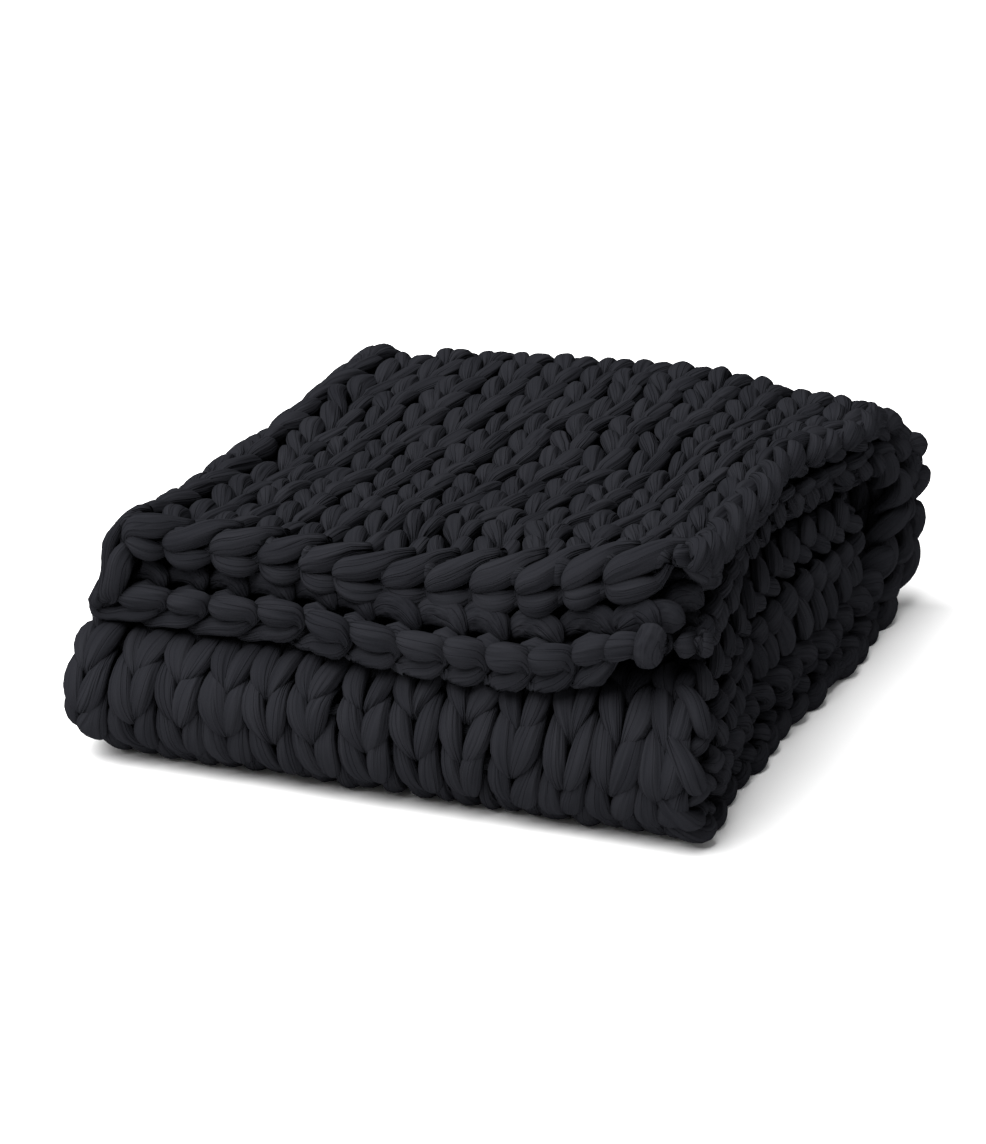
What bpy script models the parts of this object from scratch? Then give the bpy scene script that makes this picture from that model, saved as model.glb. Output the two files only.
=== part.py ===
"""Chunky hand-knit weighted blanket, folded for storage.

One knitted panel, doubled along its length (half fold at -X, selvedges at +X)
and then folded like a letter in three (front fold and free edge at -Y, rear
fold at +Y).  Metres, +Z up, origin on the floor under the middle of the stack.
"""

import math

import bmesh
import bpy

# --- the knitted panel, laid flat ------------------------------------------------
WALES = 26                  # stitches across the panel
COURSES = 48                # rows along the panel
WALE = 0.041                # width of one stitch
THICKNESS = 0.034           # cloth, crest of the stitches to crest of the back

# --- how the layers lie ----------------------------------------------------------
LAYER_GAP = 0.003           # between the two layers of the doubled cloth
STRIP_GAP = 0.004           # between one third of the letter fold and the next
DEPTH = 0.656               # front fold to rear fold
FREE_EDGE_SETBACK = 0.030   # upper free edge, behind the front of the front fold
INNER_EDGE_REACH = 0.024    # lower free edge, in front of the upper one at the right
MOUTH_OPENING = 0.007       # half the extra gap between the two free edges
MOUTH_COURSES = 3.0         # courses over which that gap closes
TUCK_SHORTFALL = 0.006      # hidden end, short of the start of the rear fold

# --- how the stack has settled ---------------------------------------------------
FRONT_HEIGHT = 0.935        # height factor along the front, at mid width
SIDE_TILT = 0.060           # added at the selvedge side, taken off at the fold side
REAR_LOFT = 0.150           # added towards the springy rear fold
REAR_DROOP = 0.85           # share of that lost at the selvedge side
SELVEDGE_LIP = 0.055        # added where the selvedges pile up, half way back
HALF_FOLD_LIP = -0.005      # the same along the half fold
FREE_EDGE_LOFT = 0.42       # extra thickness of the top third towards its free edge
LOFT_SLOPE = 0.22           # how much of that is gained or lost towards the sides
LOFT_KEPT = 0.62            # share of the loft that is left half way back
EDGE_SAG = 0.016            # droop of the free edges over the front fold, mid width
CORNER_LIFT = 0.026         # lower free edge, held up at the selvedge corner
SIDE_LIFT = 0.020           # selvedges of the middle third, held up half way back
UPPER_INSET = 0.026         # selvedges of the middle and top thirds, half way back
SHOULDER_INSET = 0.014      # top of the rear fold at the selvedge side
FOLD_BULGE = 0.032          # front fold, past the top third at the half-fold side
CORNER_BULGE = 0.016        # front corner at the selvedge side
REAR_BULGE = 0.018          # rear fold, low down at the selvedge side
CENTRE_X = -0.0062          # middle of the uneven stack, moved onto the origin
CENTRE_Y = 0.0015
RIDGE_HEIGHT = 0.006        # rope-like ridge along the top of the half fold
RIDGE_WIDTH = 0.018
FLAT_DEPTH = 0.0015         # underside pressed flat against the floor

# --- the raised stitches ---------------------------------------------------------
STITCH_RELIEF = 0.009       # crest of a stitch leg over the valley beside it
PLAIN_RELIEF = 0.003        # plain stretches lie this far under the crests
LEG_SLANT = 0.34            # rise of a leg's ends across half a wale, in courses
EDGE_ROUND = 0.012          # how far the rounded rims stand out
CHAIN_BUMP = 0.005          # how far each chain link of the free edge stands out
DRAWN_COURSES = 38          # courses with raised legs; the hidden third stays plain
DRAWN_WALES = 13            # wales with raised legs; the inner layer stays plain
FLOOR_COURSES = (21, 31)    # courses that lie flat on the floor
FLOOR_WALES = 12            # wales that do

# --- mesh layout -----------------------------------------------------------------
HALF_STEP_WALES = 14        # wales from the outer selvedge drawn leg by leg
COLUMNS = 2 * HALF_STEP_WALES + (WALES - HALF_STEP_WALES)

KNIT_COLOUR = (0.028, 0.029, 0.032, 1.0)
KNIT_ROUGHNESS = 0.9

# --- worked out from the sizes above ---------------------------------------------
FOLD_RADIUS = (THICKNESS + LAYER_GAP) / 2
STRIP = 2 * THICKNESS + LAYER_GAP
LOW_Z = STRIP / 2
MID_Z = LOW_Z + STRIP + STRIP_GAP
TOP_Z = MID_Z + STRIP + STRIP_GAP
TOP_THIRD_Z = MID_Z + STRIP / 2
STACK_HEIGHT = TOP_Z + STRIP / 2
FRONT_RADIUS = (MID_Z - LOW_Z) / 2
REAR_RADIUS = (TOP_Z - LOW_Z) / 2
FRONT_AXIS_Y = -DEPTH / 2 + STRIP / 2 + FRONT_RADIUS
REAR_AXIS_Y = DEPTH / 2 - STRIP / 2 - REAR_RADIUS
FREE_EDGE_Y = -DEPTH / 2 + FREE_EDGE_SETBACK
HIDDEN_RUN = REAR_AXIS_Y - FRONT_AXIS_Y - TUCK_SHORTFALL
HALF_PANEL = WALES * WALE / 2
STRAIGHT = HALF_PANEL - math.pi * FOLD_RADIUS / 2
SELVEDGE_X = (STRAIGHT + FOLD_RADIUS) / 2
HALF_WIDTH = SELVEDGE_X + THICKNESS / 2
FOLD_AXIS_X = FOLD_RADIUS - SELVEDGE_X


def ramp(value, start, end):
    """Smooth step from 0 at start to 1 at end."""
    t = min(max((value - start) / (end - start), 0.0), 1.0)
    return t * t * (3.0 - 2.0 * t)


def bell(value, centre, width):
    """Smooth hump of height 1 round centre."""
    return math.exp(-((value - centre) / width) ** 2)


def half_fold(wale):
    """Place across the stack and turn round the half fold, for a stitch count."""
    length = wale * WALE
    turn = min(max((length - STRAIGHT) / FOLD_RADIUS, 0.0), math.pi)
    if turn <= 0.0:
        return SELVEDGE_X - length, turn
    if turn >= math.pi:
        return FOLD_AXIS_X + length - (2 * HALF_PANEL - STRAIGHT), turn
    return FOLD_AXIS_X, turn


def letter_fold(run, offset, reach):
    """Depth and height of a point of the letter fold.

    run is the share of the panel's length from the free edge, offset the
    distance outwards from the middle of the doubled cloth, and reach how far
    in front of the upper free edge this layer starts.  Each layer keeps its
    own length round the folds through its own mean offset.
    """
    layer, lift = offset
    start = FREE_EDGE_Y - reach
    top = REAR_AXIS_Y - start
    rear = math.pi * (REAR_RADIUS + layer)
    low = REAR_AXIS_Y - FRONT_AXIS_Y
    front = math.pi * (FRONT_RADIUS + layer)
    along = run * (top + rear + low + front + HIDDEN_RUN)
    if along < top:
        return start + along, TOP_Z + lift
    along -= top
    if along < rear:
        angle = math.pi / 2 - along / (REAR_RADIUS + layer)
        radius = REAR_RADIUS + lift
        return (REAR_AXIS_Y + radius * math.cos(angle),
                (LOW_Z + TOP_Z) / 2 + radius * math.sin(angle))
    along -= rear
    if along < low:
        return REAR_AXIS_Y - along, LOW_Z - lift
    along -= low
    if along < front:
        angle = -math.pi / 2 - along / (FRONT_RADIUS + layer)
        radius = FRONT_RADIUS + lift
        return (FRONT_AXIS_Y + radius * math.cos(angle),
                (LOW_Z + MID_Z) / 2 + radius * math.sin(angle))
    return FRONT_AXIS_Y + along - front, MID_Z + lift


def plumped(x, y, z):
    """Height once the top third has plumped up and draped at its free edge."""
    share = max(z - TOP_THIRD_Z, 0.0) / STRIP
    if share <= 0.0:
        return z
    loft = FREE_EDGE_LOFT * (1.0 + LOFT_SLOPE * x / HALF_WIDTH) * (1.0 - ramp(y, 0.0, 0.22))
    loft *= 1.0 - (1.0 - LOFT_KEPT) * ramp(y, -0.30, -0.05)
    lift = CORNER_LIFT * ramp(x, 0.13, 0.25) * (1.0 - 0.5 * share)
    sag = EDGE_SAG * bell(x, 0.08, 0.14) * (1.0 - 0.4 * share)
    return z + STRIP * share * loft + (lift - sag) * ramp(-y, 0.24, 0.32)


def height_factor(x, y):
    """Height of the settled stack over its height as folded."""
    side = x / HALF_WIDTH
    rear = 1.0 - REAR_DROOP * ramp(side, 0.1, 0.9) - 0.35 * ramp(-side, 0.4, 1.0)
    factor = FRONT_HEIGHT + SIDE_TILT * side
    factor += REAR_LOFT * ramp(y, -0.02, 0.26) * rear
    factor += SELVEDGE_LIP * ramp(x, 0.15, 0.24) * bell(y, -0.05, 0.16)
    factor += HALF_FOLD_LIP * ramp(-x, 0.15, 0.24) * bell(y, -0.07, 0.17)
    return factor


def settle(x, y, z):
    """Lean, dish and bulge of the stack under its own weight."""
    side = x / HALF_WIDTH
    right = ramp(side, 0.4, 1.0)
    low = 1.0 - ramp(z, 0.35 * STACK_HEIGHT, 0.75 * STACK_HEIGHT)
    high = ramp(z, 0.7 * STACK_HEIGHT, STACK_HEIGHT)
    z = plumped(x, y, z)
    held = ramp(z, STRIP, MID_Z) * (1.0 - ramp(z, TOP_THIRD_Z + 0.006, STACK_HEIGHT + 0.01))
    z += SIDE_LIFT * right * bell(y, 0.03, 0.20) * held
    ridge = bell(x, -0.245, RIDGE_WIDTH) - 0.8 * bell(x, -0.205, RIDGE_WIDTH)
    z = z * height_factor(x, y) + RIDGE_HEIGHT * ridge * high - FLAT_DEPTH
    bulge = (0.7 + 0.3 * ramp(z, 0.0, LOW_Z)) * (1.0 - ramp(z, MID_Z, TOP_THIRD_Z + 0.03))
    x -= FOLD_BULGE * ramp(-side, 0.0, 1.0) * bulge * ramp(-y, -0.15, 0.25)
    x -= UPPER_INSET * right * (1.0 - low) * (1.0 - 0.5 * high) * bell(y, -0.02, 0.20)
    x -= SHOULDER_INSET * ramp(side, 0.3, 1.0) * high * ramp(y, 0.12, 0.30)
    x += CORNER_BULGE * right * ramp(-y, 0.05, 0.30)
    y += REAR_BULGE * ramp(side, -0.2, 1.0) * ramp(y, 0.10, 0.33) * (1.0 - 0.6 * high)
    return x - CENTRE_X, y - CENTRE_Y, max(z, 0.0)


def place(wale, course, lift):
    """Point of the folded cloth: stitches across, rows along, lift off its middle.

    A positive lift is towards the knit side, which faces outwards all round.
    """
    x, turn = half_fold(wale)
    facing = math.cos(turn)
    inner = (1.0 - facing) / 2
    spread = FOLD_RADIUS + MOUTH_OPENING * ramp(MOUTH_COURSES - course, 0.0, MOUTH_COURSES)
    rightness = ramp(x, -SELVEDGE_X, 0.3 * SELVEDGE_X)
    reach = INNER_EDGE_REACH * inner * rightness
    offset = (FOLD_RADIUS * facing, (spread + lift) * facing)
    y, z = letter_fold(course / COURSES, offset, reach)
    return settle(x - (FOLD_RADIUS + lift) * math.sin(turn), y, z)


def wale_of(column):
    """Stitch count at a mesh column: half wales outside, whole wales inside."""
    outer = min(column, 2 * HALF_STEP_WALES)
    return outer / 2 + (column - outer)


def flat_slab(bm):
    """Slab of the laid-out panel in grid units, with a seam round its rim.

    X counts mesh columns, Y counts courses, and Z is +1 on the knit side,
    -1 on the purl side and 0 along the rim.
    """
    bmesh.ops.create_grid(bm, x_segments=COLUMNS, y_segments=COURSES, size=0.5)
    for vert in bm.verts:
        vert.co.x = round((vert.co.x + 0.5) * COLUMNS)
        vert.co.y = round((vert.co.y + 0.5) * COURSES)
        vert.co.z = 1.0
    extruded = bmesh.ops.extrude_face_region(bm, geom=bm.faces[:])
    for item in extruded["geom"]:
        if isinstance(item, bmesh.types.BMVert):
            item.co.z = -1.0
    walls = [edge for edge in bm.edges
             if abs(edge.verts[0].co.z - edge.verts[1].co.z) > 1.0]
    bmesh.ops.subdivide_edges(bm, edges=walls, cuts=1)
    bmesh.ops.recalc_face_normals(bm, faces=bm.faces[:])


def on_floor(column, course):
    """True where the knit side is pressed flat under the stack."""
    return (wale_of(column) <= FLOOR_WALES
            and FLOOR_COURSES[0] <= course <= FLOOR_COURSES[1])


def drawn(column, course):
    """True where the knit side shows and its legs are raised one by one."""
    return (wale_of(column) <= DRAWN_WALES and course <= DRAWN_COURSES
            and not on_floor(column, course))


def rim_point(column, course):
    """Middle of the rounded rim, standing out past the cloth's own edge."""
    wale = wale_of(column)
    edge = place(wale, course, 0.0)
    behind = place(min(max(wale, 0.5), WALES - 0.5), min(max(course, 0.5), COURSES - 0.5), 0.0)
    away = [a - b for a, b in zip(edge, behind)]
    stand = EDGE_ROUND + (CHAIN_BUMP if column % 2 else 0.0)
    return [c + stand * d / math.hypot(*away) for c, d in zip(edge, away)]


def cloth_point(column, course, level):
    """Folded place of a slab vertex, with the slant of the legs and rounded rims."""
    if level == 0:
        return rim_point(column, course)
    wale = wale_of(column)
    if level < 0:
        return place(wale, course, PLAIN_RELIEF - THICKNESS / 2)
    if on_floor(column, course):
        return place(wale, course, THICKNESS / 2)
    if not drawn(column, course):
        return place(wale, course, THICKNESS / 2 - PLAIN_RELIEF)
    if 0 < course:
        course += LEG_SLANT if column % 2 else -LEG_SLANT
    return place(wale, course, THICKNESS / 2 - STITCH_RELIEF)


def raise_legs(bm, legs):
    """Raises each leg of the visible knit stitches to a soft crest."""
    for face in legs:
        face.normal_update()
    bmesh.ops.poke(bm, faces=legs, offset=STITCH_RELIEF, center_mode="MEAN")


def knit_material():
    """Matte charcoal jersey yarn."""
    material = bpy.data.materials.new("knit")
    material.use_nodes = True
    shader = material.node_tree.nodes["Principled BSDF"]
    shader.inputs["Base Color"].default_value = KNIT_COLOUR
    shader.inputs["Roughness"].default_value = KNIT_ROUGHNESS
    shader.inputs["Metallic"].default_value = 0.0
    return material


def build_blanket():
    """The whole folded blanket as one closed solid."""
    bm = bmesh.new()
    flat_slab(bm)
    legs = [face for face in bm.faces
            if all(vert.co.z > 0.5 and drawn(vert.co.x, vert.co.y) for vert in face.verts)]
    for vert in bm.verts:
        vert.co = cloth_point(round(vert.co.x), round(vert.co.y), round(vert.co.z))
    bmesh.ops.reverse_faces(bm, faces=bm.faces[:])
    raise_legs(bm, legs)
    for vert in bm.verts:
        vert.co.z = max(vert.co.z, 0.0)
    mesh = bpy.data.meshes.new("blanket")
    bm.to_mesh(mesh)
    bm.free()
    mesh.materials.append(knit_material())
    blanket = bpy.data.objects.new("blanket", mesh)
    bpy.context.scene.collection.objects.link(blanket)
    return blanket


def main():
    """Clears the scene and builds the blanket."""
    for old in list(bpy.data.objects):
        bpy.data.objects.remove(old, do_unlink=True)
    build_blanket()


main()
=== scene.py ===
"""Looks of the folded chunky-knit weighted blanket.

The blanket is one stockinette panel knitted from a stuffed jersey tube.  Every
row of the knitting is modelled here as its own tube of yarn that runs through
its loops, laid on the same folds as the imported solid.  Lengths are in metres.
"""

import logging
import math
from dataclasses import dataclass, field
from enum import Enum
from typing import NamedTuple

import bmesh
import bpy
import numpy as np
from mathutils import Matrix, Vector


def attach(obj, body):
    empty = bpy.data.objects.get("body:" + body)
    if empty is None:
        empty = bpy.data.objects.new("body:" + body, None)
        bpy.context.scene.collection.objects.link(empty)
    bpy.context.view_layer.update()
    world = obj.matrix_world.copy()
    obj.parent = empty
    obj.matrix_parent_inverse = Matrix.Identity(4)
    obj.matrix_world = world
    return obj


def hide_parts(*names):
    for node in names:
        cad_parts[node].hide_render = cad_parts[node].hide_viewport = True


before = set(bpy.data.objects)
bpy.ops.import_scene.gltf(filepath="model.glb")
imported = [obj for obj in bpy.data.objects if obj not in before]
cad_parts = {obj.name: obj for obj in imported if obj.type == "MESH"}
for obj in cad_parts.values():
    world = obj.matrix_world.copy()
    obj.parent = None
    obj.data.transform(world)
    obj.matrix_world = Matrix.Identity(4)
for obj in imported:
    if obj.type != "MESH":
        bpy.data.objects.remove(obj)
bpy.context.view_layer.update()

log = logging.getLogger("blanket")
TAU = 2.0 * math.pi
Span = tuple[float, float]      # where a ramp starts and ends
Hump = tuple[float, float]      # a bell's middle and width
Triple = tuple[float, float, float]
Socket = bpy.types.NodeSocket


def ramp(value: np.ndarray | float, start: float, end: float) -> np.ndarray:
    """Smooth step.

    Args:
        value: Where to read the step.
        start: Where it is 0.
        end: Where it is 1.

    Returns:
        The step's height at each value.
    """
    t = np.clip((value - start) / (end - start), 0.0, 1.0)
    return t * t * (3.0 - 2.0 * t)


def bell(value: np.ndarray | float, centre: float, width: float) -> np.ndarray:
    """Smooth hump.

    Args:
        value: Where to read the hump.
        centre: Where it is 1.
        width: Distance at which it has fallen to about a third.

    Returns:
        The hump's height at each value.
    """
    return np.exp(-((value - centre) / width) ** 2)


@dataclass(frozen=True)
class Gauge:
    """How the panel is knitted."""

    wales: int = 26             # stitches across the panel
    courses: int = 48           # rows along it
    wale: float = 0.041         # width of a stitch
    thickness: float = 0.034    # of the cloth
    course: float = 0.038       # height of a row


@dataclass(frozen=True)
class FoldedStack:
    """Where the doubled, letter-folded panel lies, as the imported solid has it."""

    gauge: Gauge = Gauge()
    layer_gap: float = 0.003            # between the two layers of the doubled cloth
    strip_gap: float = 0.004            # between the thirds of the letter fold
    depth: float = 0.656                # front fold to rear fold
    free_edge_setback: float = 0.030    # of the upper free edge from the front
    inner_edge_reach: float = 0.024     # of the lower one in front of it, at the right
    mouth_opening: float = 0.007        # half the extra gap between the two
    mouth_courses: float = 3.0          # rows over which that gap closes
    tuck_shortfall: float = 0.006       # of the hidden end from the rear fold
    # How the stack has settled.  Spans and humps named _x and _y are in metres, and
    # those named _side in half widths, from the middle out to the side they are on.
    front_height: float = 0.935         # height factor along the front, at mid width
    side_tilt: float = 0.060            # how much higher the right side is, and lower the left
    rear_loft: float = 0.150            # how much higher the rear is
    rear_loft_y: Span = (-0.02, 0.26)
    rear_droop: float = 0.85            # share of the rear's loft lost at the right
    rear_droop_side: Span = (0.1, 0.9)
    left_droop: float = 0.35            # and at the left
    left_droop_side: Span = (0.4, 1.0)
    selvedge_lip: float = 0.055         # how much higher the right side's middle is
    half_fold_lip: float = -0.005       # and the left side's
    lip_x: Span = (0.15, 0.24)
    selvedge_lip_y: Hump = (-0.05, 0.16)
    half_fold_lip_y: Hump = (-0.07, 0.17)
    free_edge_loft: float = 0.42        # the top third's own loft, over its thickness
    loft_slope: float = 0.22            # how much more of it there is at the right
    loft_y: Span = (0.0, 0.22)          # over which it ends
    loft_kept: float = 0.62             # share of the loft kept back from the free edge
    kept_y: Span = (-0.30, -0.05)
    edge_sag: float = 0.016             # how far the free edge hangs
    sag_x: Hump = (0.08, 0.14)
    sag_fade: float = 0.4               # share of the sag lost from the top third's foot up
    corner_lift: float = 0.026          # how far its right corner stands up
    corner_x: Span = (0.13, 0.25)
    corner_fade: float = 0.5            # share of the lift lost from the foot up
    drape_y: Span = (0.24, 0.32)        # in front of the middle, for the sag and the lift
    side_lift: float = 0.020            # how far the right side's layers spread upwards
    side_lift_y: Hump = (0.03, 0.20)
    side_lift_fade: Span = (0.006, 0.01)    # above the middle third, above the stack
    right_side: Span = (0.4, 1.0)
    low_share: Span = (0.35, 0.75)      # of the stack's height
    high_share: Span = (0.7, 1.0)
    upper_inset: float = 0.026          # how far the upper right side is drawn in
    upper_inset_y: Hump = (-0.02, 0.20)
    inset_fade: float = 0.5             # share of the inset lost at the top
    shoulder_inset: float = 0.014       # and its rear shoulder
    shoulder_side: Span = (0.3, 1.0)
    shoulder_y: Span = (0.12, 0.30)
    fold_bulge: float = 0.032           # how far the half fold bulges out to the left
    fold_bulge_y: Span = (-0.15, 0.25)
    bulge_foot: float = 0.7             # share of the bulge kept on the floor
    bulge_fade: float = 0.03            # how far above the middle third it ends
    corner_bulge: float = 0.016         # how far the front right corner does to the right
    corner_bulge_y: Span = (0.05, 0.30)
    rear_bulge: float = 0.018           # how far the rear fold does to the rear
    rear_bulge_side: Span = (-0.2, 1.0)
    rear_bulge_y: Span = (0.10, 0.33)
    rear_bulge_fade: float = 0.6        # share of it lost at the top
    reach_side: float = 0.3             # where the inner edge has come to its full reach
    centre_x: float = -0.0062           # middle of the settled stack
    centre_y: float = 0.0015
    ridge_height: float = 0.006         # of the crease along the half fold's upper side
    ridge_width: float = 0.018
    ridge_x: float = -0.245
    groove_x: float = -0.205
    groove_share: float = 0.8           # the groove's depth over the ridge's height
    flat_depth: float = 0.0015          # how far the stitches press flat on the floor

    @property
    def fold_radius(self) -> float:
        """Radius of the half fold, to the middle of the cloth."""
        return (self.gauge.thickness + self.layer_gap) / 2

    @property
    def strip(self) -> float:
        """Thickness of the doubled cloth."""
        return 2 * self.gauge.thickness + self.layer_gap

    @property
    def heights(self) -> Triple:
        """Heights of the bottom, middle and top thirds."""
        low = self.strip / 2
        step = self.strip + self.strip_gap
        return low, low + step, low + 2 * step

    def half_fold(self, wale: np.ndarray) -> tuple[np.ndarray, np.ndarray]:
        """Place across the stack and turn round the half fold.

        Args:
            wale: Stitches from the outer selvedge.

        Returns:
            X of the cloth's middle, and the turn from 0 to pi.
        """
        half = self.gauge.wales * self.gauge.wale / 2
        straight = half - math.pi * self.fold_radius / 2
        edge = (straight + self.fold_radius) / 2
        axis = self.fold_radius - edge
        length = wale * self.gauge.wale
        turn = np.clip((length - straight) / self.fold_radius, 0.0, math.pi)
        back = axis + length - (2 * half - straight)
        x = np.where(turn <= 0.0, edge - length, np.where(turn >= math.pi, back, axis))
        return x, turn

    def letter_fold(
        self, run: np.ndarray, layer: np.ndarray, lift: np.ndarray, reach: np.ndarray
    ) -> tuple[np.ndarray, np.ndarray]:
        """Depth and height of points of the letter fold.

        Args:
            run: Share of the panel's length from the free edge.
            layer: Offset of this layer's middle from the doubled cloth's.
            lift: Offset of the point itself.
            reach: How far in front of the upper free edge the layer starts.

        Returns:
            Y and Z before the stack settles.
        """
        low_z, mid_z, top_z = self.heights
        front_radius, rear_radius = (mid_z - low_z) / 2, (top_z - low_z) / 2
        front_y = -self.depth / 2 + self.strip / 2 + front_radius
        rear_y = self.depth / 2 - self.strip / 2 - rear_radius
        start = self.free_edge_setback - self.depth / 2 - reach
        low_run = rear_y - front_y
        top = rear_y - start
        rear = math.pi * (rear_radius + layer)
        front = math.pi * (front_radius + layer)
        along = run * (top + rear + low_run + front + low_run - self.tuck_shortfall)
        ends = np.cumsum(np.broadcast_arrays(top, rear, np.full_like(rear, low_run), front), axis=0)
        rear_turn = math.pi / 2 - (along - ends[0]) / (rear_radius + layer)
        front_turn = -math.pi / 2 - (along - ends[2]) / (front_radius + layer)
        parts = [along < ends[0], along < ends[1], along < ends[2], along < ends[3]]
        y = np.select(parts, [
            start + along,
            rear_y + (rear_radius + lift) * np.cos(rear_turn),
            rear_y - (along - ends[1]),
            front_y + (front_radius + lift) * np.cos(front_turn),
        ], front_y + along - ends[3])
        z = np.select(parts, [
            top_z + lift,
            (low_z + top_z) / 2 + (rear_radius + lift) * np.sin(rear_turn),
            low_z - lift,
            (low_z + mid_z) / 2 + (front_radius + lift) * np.sin(front_turn),
        ], mid_z + lift)
        return y, z

    def plumped(self, x: np.ndarray, y: np.ndarray, z: np.ndarray) -> np.ndarray:
        """Height once the top third has plumped up and draped at its free edge.

        Args:
            x: Place across.
            y: Place front to back.
            z: Height before.

        Returns:
            The height after.
        """
        share = np.maximum(z - self.top_third, 0.0) / self.strip
        loft = self.free_edge_loft * (1.0 + self.loft_slope * x / self.half_width)
        loft = loft * (1.0 - ramp(y, *self.loft_y))
        loft = loft * (1.0 - (1.0 - self.loft_kept) * ramp(y, *self.kept_y))
        lift = self.corner_lift * ramp(x, *self.corner_x) * (1.0 - self.corner_fade * share)
        sag = self.edge_sag * bell(x, *self.sag_x) * (1.0 - self.sag_fade * share)
        drape = np.where(share > 0.0, (lift - sag) * ramp(-y, *self.drape_y), 0.0)
        return z + self.strip * share * loft + drape

    def height_factor(self, x: np.ndarray, y: np.ndarray) -> np.ndarray:
        """Height of the settled stack over its height as folded.

        Args:
            x: Place across.
            y: Place front to back.

        Returns:
            The factor at each place.
        """
        side = x / self.half_width
        rear = 1.0 - self.rear_droop * ramp(side, *self.rear_droop_side)
        rear = rear - self.left_droop * ramp(-side, *self.left_droop_side)
        factor = self.front_height + self.side_tilt * side
        factor = factor + self.rear_loft * ramp(y, *self.rear_loft_y) * rear
        factor = factor + self.selvedge_lip * ramp(x, *self.lip_x) * bell(y, *self.selvedge_lip_y)
        return factor + self.half_fold_lip * ramp(-x, *self.lip_x) * bell(y, *self.half_fold_lip_y)

    def settle(self, x: np.ndarray, y: np.ndarray, z: np.ndarray) -> np.ndarray:
        """Lean, dish and bulge of the stack under its own weight.

        Args:
            x: Place across.
            y: Place front to back.
            z: Height.

        Returns:
            The settled points, one row each.
        """
        low_z, mid_z, _ = self.heights
        stack = self.heights[2] + self.strip / 2
        side = x / self.half_width
        right = ramp(side, *self.right_side)
        low = 1.0 - ramp(z, self.low_share[0] * stack, self.low_share[1] * stack)
        high = ramp(z, self.high_share[0] * stack, self.high_share[1] * stack)
        z = self.plumped(x, y, z)
        fade = ramp(z, self.top_third + self.side_lift_fade[0], stack + self.side_lift_fade[1])
        held = ramp(z, self.strip, mid_z) * (1.0 - fade)
        z = z + self.side_lift * right * bell(y, *self.side_lift_y) * held
        ridge = bell(x, self.ridge_x, self.ridge_width)
        ridge = ridge - self.groove_share * bell(x, self.groove_x, self.ridge_width)
        z = z * self.height_factor(x, y) + self.ridge_height * ridge * high - self.flat_depth
        bulge = self.bulge_foot + (1.0 - self.bulge_foot) * ramp(z, 0.0, low_z)
        bulge = bulge * (1.0 - ramp(z, mid_z, self.top_third + self.bulge_fade))
        inset = self.upper_inset * right * (1.0 - low) * (1.0 - self.inset_fade * high)
        shoulder = self.shoulder_inset * ramp(side, *self.shoulder_side) * high
        rear = self.rear_bulge * ramp(side, *self.rear_bulge_side)
        x = x - self.fold_bulge * ramp(-side, 0.0, 1.0) * bulge * ramp(-y, *self.fold_bulge_y)
        x = x - inset * bell(y, *self.upper_inset_y)
        x = x - shoulder * ramp(y, *self.shoulder_y)
        x = x + self.corner_bulge * right * ramp(-y, *self.corner_bulge_y)
        y = y + rear * ramp(y, *self.rear_bulge_y) * (1.0 - self.rear_bulge_fade * high)
        return np.stack([x - self.centre_x, y - self.centre_y, np.maximum(z, 0.0)], axis=-1)

    @property
    def top_third(self) -> float:
        """Height of the middle third's upper face, under the top third."""
        return self.heights[1] + self.strip / 2

    @property
    def half_width(self) -> float:
        """Half the width of the stack."""
        straight = self.gauge.wales * self.gauge.wale / 2 - math.pi * self.fold_radius / 2
        return (straight + self.fold_radius) / 2 + self.gauge.thickness / 2

    def place(self, flat: np.ndarray) -> np.ndarray:
        """Folds points of the panel laid flat.

        Args:
            flat: Points as (metres from the outer selvedge, metres from the
                free edge, height over the cloth's middle on the knit side).

        Returns:
            The same points on the folded stack.
        """
        wale = flat[..., 0] / self.gauge.wale
        course = flat[..., 1] / self.gauge.course
        lift = flat[..., 2]
        x, turn = self.half_fold(wale)
        facing = np.cos(turn)
        spread = self.fold_radius + self.mouth_opening * ramp(
            self.mouth_courses - course, 0.0, self.mouth_courses)
        edge = self.half_width - self.gauge.thickness / 2
        reach = self.inner_edge_reach * (1.0 - facing) / 2 * ramp(x, -edge, self.reach_side * edge)
        y, z = self.letter_fold(
            course / self.gauge.courses, self.fold_radius * facing,
            (spread + lift) * facing, reach)
        return self.settle(x - (self.fold_radius + lift) * np.sin(turn), y, z)


class Detail(NamedTuple):
    """How finely a length of yarn is modelled."""

    steps: int          # rings: for a stitch or a link, or in all on a short strand
    sides: int


class Fineness(Enum):
    """How finely each kind of strand is modelled."""

    SHOWN = Detail(30, 18)
    GLIMPSED = Detail(22, 12)
    TUCKED = Detail(16, 10)
    CHAIN = Detail(34, 18)
    KNOT = Detail(16, 14)
    CORD = Detail(160, 10)
    BUMP = Detail(20, 16)
    KNOB = Detail(24, 20)


class Stretch(NamedTuple):
    """Rows of one layer that make a piece."""

    name: str
    courses: range
    inner: bool         # on the inner layer, not the outer
    fineness: Fineness


STRETCHES = (
    Stretch("top_stitches", range(0, 13), False, Fineness.SHOWN),
    Stretch("rear_fold_stitches", range(13, 21), False, Fineness.SHOWN),
    Stretch("underside_stitches", range(21, 31), False, Fineness.GLIMPSED),
    Stretch("front_fold_stitches", range(31, 39), False, Fineness.SHOWN),
    Stretch("tucked_stitches", range(39, 47), False, Fineness.TUCKED),
    Stretch("mouth_stitches", range(1, 5), True, Fineness.SHOWN),
    Stretch("inner_front_stitches", range(5, 24), True, Fineness.TUCKED),
    Stretch("inner_rear_stitches", range(24, 47), True, Fineness.TUCKED),
)


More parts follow.
